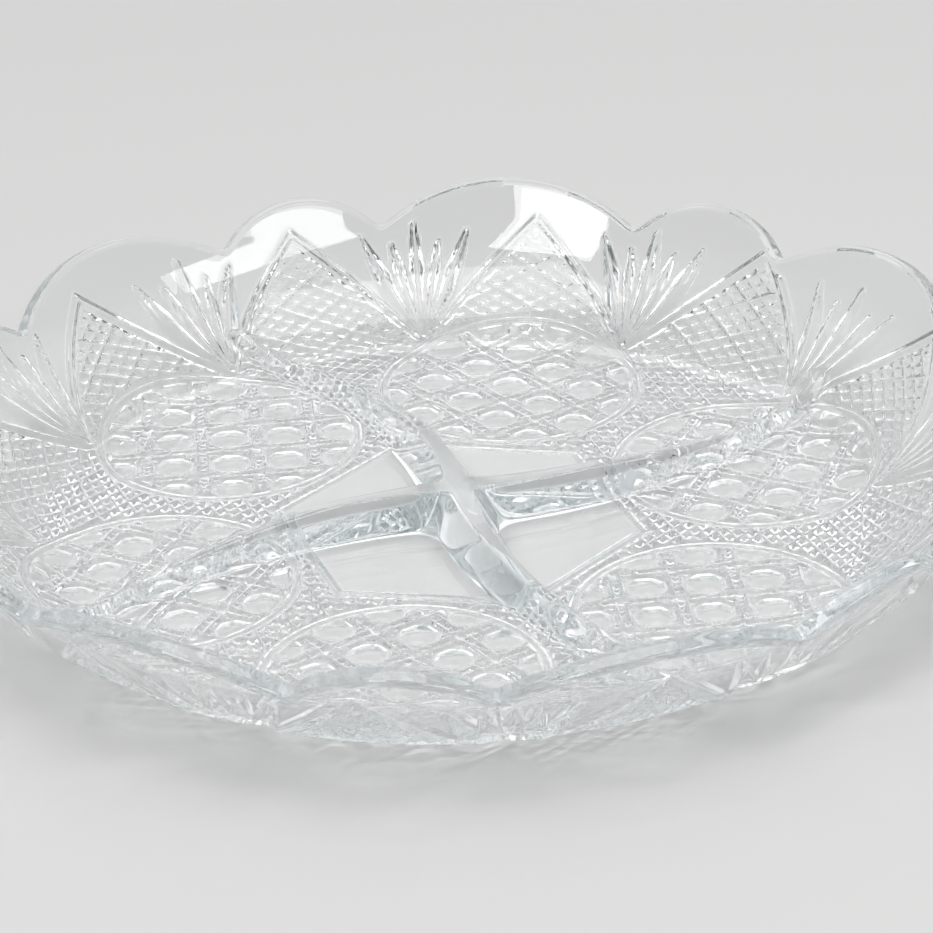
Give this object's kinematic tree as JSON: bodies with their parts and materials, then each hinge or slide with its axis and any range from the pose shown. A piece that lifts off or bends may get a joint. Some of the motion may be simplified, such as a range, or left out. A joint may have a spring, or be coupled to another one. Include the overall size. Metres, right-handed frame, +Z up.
{
  "type": "relish tray",
  "caption": "Round clear pressed-glass relish tray with divided compartments, a scalloped rim and a cut-style pattern underneath.",
  "frame": {"origin": "centre of the underside, on the plane the tray rests on", "axes": "+Z up out of the tray, +X to the right and +Y away from the viewer of the picture"},
  "size_m": [0.2645, 0.2639, 0.0385],
  "materials": {
    "clear_glass": "clear colourless pressed glass, fire polished inside, sharp facets pressed underneath"
  },
  "bodies": {
    "root": {"floor_plate": "clear_glass", "centre_window": "clear_glass", "centre_hub": "clear_glass", "divider_ridge_1": "clear_glass", "divider_ridge_2": "clear_glass", "divider_ridge_3": "clear_glass", "divider_ridge_4": "clear_glass", "large_scallop_1": "clear_glass", "large_scallop_2": "clear_glass", "large_scallop_3": "clear_glass", "large_scallop_4": "clear_glass", "large_scallop_5": "clear_glass", "large_scallop_6": "clear_glass", "large_scallop_7": "clear_glass", "small_scallop_1": "clear_glass", "small_scallop_2": "clear_glass", "small_scallop_3": "clear_glass", "small_scallop_4": "clear_glass", "small_scallop_5": "clear_glass", "small_scallop_6": "clear_glass", "small_scallop_7": "clear_glass", "cane_field_1": "clear_glass", "cane_field_2": "clear_glass", "cane_field_3": "clear_glass", "cane_field_4": "clear_glass", "cane_field_5": "clear_glass", "cane_field_6": "clear_glass", "wall_fan_1": "clear_glass", "wall_fan_2": "clear_glass", "wall_fan_3": "clear_glass", "wall_fan_4": "clear_glass", "wall_fan_5": "clear_glass", "wall_fan_6": "clear_glass", "wall_fan_7": "clear_glass", "wall_fan_8": "clear_glass", "wall_fan_9": "clear_glass", "wall_fan_10": "clear_glass", "wall_fan_11": "clear_glass", "wall_fan_12": "clear_glass"}
  },
  "joints": []
}
